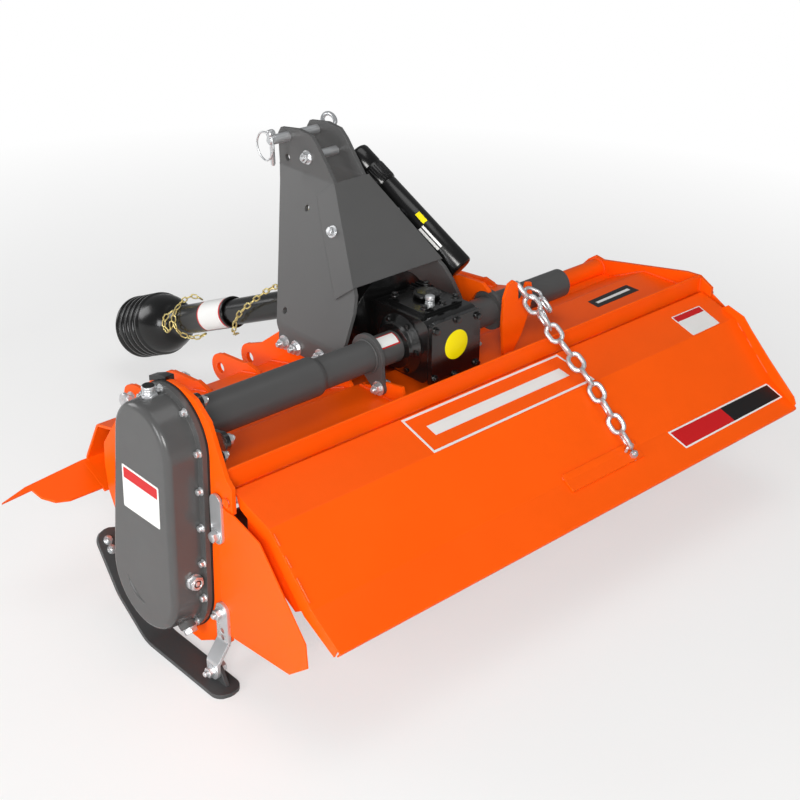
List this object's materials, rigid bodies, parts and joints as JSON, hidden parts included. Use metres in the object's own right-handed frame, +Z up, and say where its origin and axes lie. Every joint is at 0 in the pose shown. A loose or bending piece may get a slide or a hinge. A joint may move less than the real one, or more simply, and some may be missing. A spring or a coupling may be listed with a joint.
{
  "type": "rotary tiller",
  "caption": "Tractor-mounted rotary tiller: hood with a hinged tailgate, tined rotor, side gear case, three-point mast and guarded telescoping drive shaft.",
  "frame": {"origin": "centre of the footprint on the floor", "axes": "+X to the machine's right, +Y forwards to the tractor, +Z up"},
  "size_m": [1.5016, 1.4224, 0.771],
  "materials": {
    "orange_paint": "semi-gloss",
    "grey_paint": "satin",
    "case_paint": "gloss",
    "tube_paint": "satin",
    "dark_paint": "satin",
    "black_iron": "gloss paint",
    "black_plastic": "satin",
    "gasket": "matt",
    "zinc": "zinc plated",
    "steel": "bare, oiled"
  },
  "bodies": {
    "frame": {"deck": "orange_paint", "front_tube": "orange_paint", "front_beam": "orange_paint", "gear_case_deflector": "orange_paint", "side_plate_left": "orange_paint", "side_plate_right": "orange_paint", "side_shield_left": "orange_paint", "side_shield_right": "orange_paint", "shield_strap_left": "zinc", "shield_strap_right": "zinc", "hinge_rod": "zinc", "skid_left": "dark_paint", "skid_right": "dark_paint", "skid_strap_left": "zinc", "skid_strap_right": "zinc", "drive_tube": "tube_paint", "tube_flange": "black_iron", "gear_case": "case_paint", "gear_case_gasket": "gasket", "rotor_bearing": "black_iron", "gearbox": "black_iron", "support_tube": "tube_paint", "tube_bracket": "tube_paint", "input_shield": "black_plastic", "mast_plate_left": "grey_paint", "mast_plate_right": "grey_paint", "mast_base_left": "orange_paint", "mast_base_right": "orange_paint", "mast_guard": "grey_paint", "document_tube": "black_plastic", "top_pin": "zinc", "mast_spacer": "zinc", "hitch_lug_outer_left": "orange_paint", "hitch_lug_inner_left": "orange_paint", "link_lug_left": "orange_paint", "lower_pin_left": "zinc", "hitch_lug_outer_right": "orange_paint", "hitch_lug_inner_right": "orange_paint", "link_lug_right": "orange_paint", "lower_pin_right": "zinc", "chain_bracket": "orange_paint", "tailgate_chain": "zinc", "input_shaft": "steel", "input_yoke": "steel"},
    "tailgate": {"tailgate": "orange_paint", "chain_anchor": "orange_paint"},
    "rotor": {"rotor_shaft": "dark_paint", "tines_1": "dark_paint", "tines_2": "dark_paint", "tines_3": "dark_paint", "tines_4": "dark_paint", "tines_5": "dark_paint", "tines_6": "dark_paint"},
    "shaft_inner": {"joint_cross": "steel", "inner_profile": "steel", "guard_inner": "black_plastic"},
    "shaft_outer": {"guard_outer": "black_plastic", "outer_profile": "steel", "tractor_cross": "steel", "tractor_yoke": "steel"}
  },
  "joints": [
    {"name": "tailgate_hinge", "type": "hinge", "parent": "frame", "child": "tailgate", "pos_m": [0.06125, -0.45018, 0.362], "axis": [-1, 0, 0], "range_deg": [0, 75], "deforming": ["tailgate_chain"]},
    {"name": "rotor_spin", "type": "hinge", "parent": "frame", "child": "rotor", "pos_m": [0.06125, -0.28618, 0.176], "axis": [1, 0, 0], "continuous": true},
    {"name": "driveline_lift", "type": "hinge", "parent": "frame", "child": "shaft_inner", "pos_m": [-0.00975, -0.07018, 0.441], "axis": [1, 0, 0], "range_deg": [0, 50]},
    {"name": "driveline_slide", "type": "slide", "parent": "shaft_inner", "child": "shaft_outer", "axis": [0, 0.9157, -0.4019], "range_m": [-0.1, 0]}
  ]
}
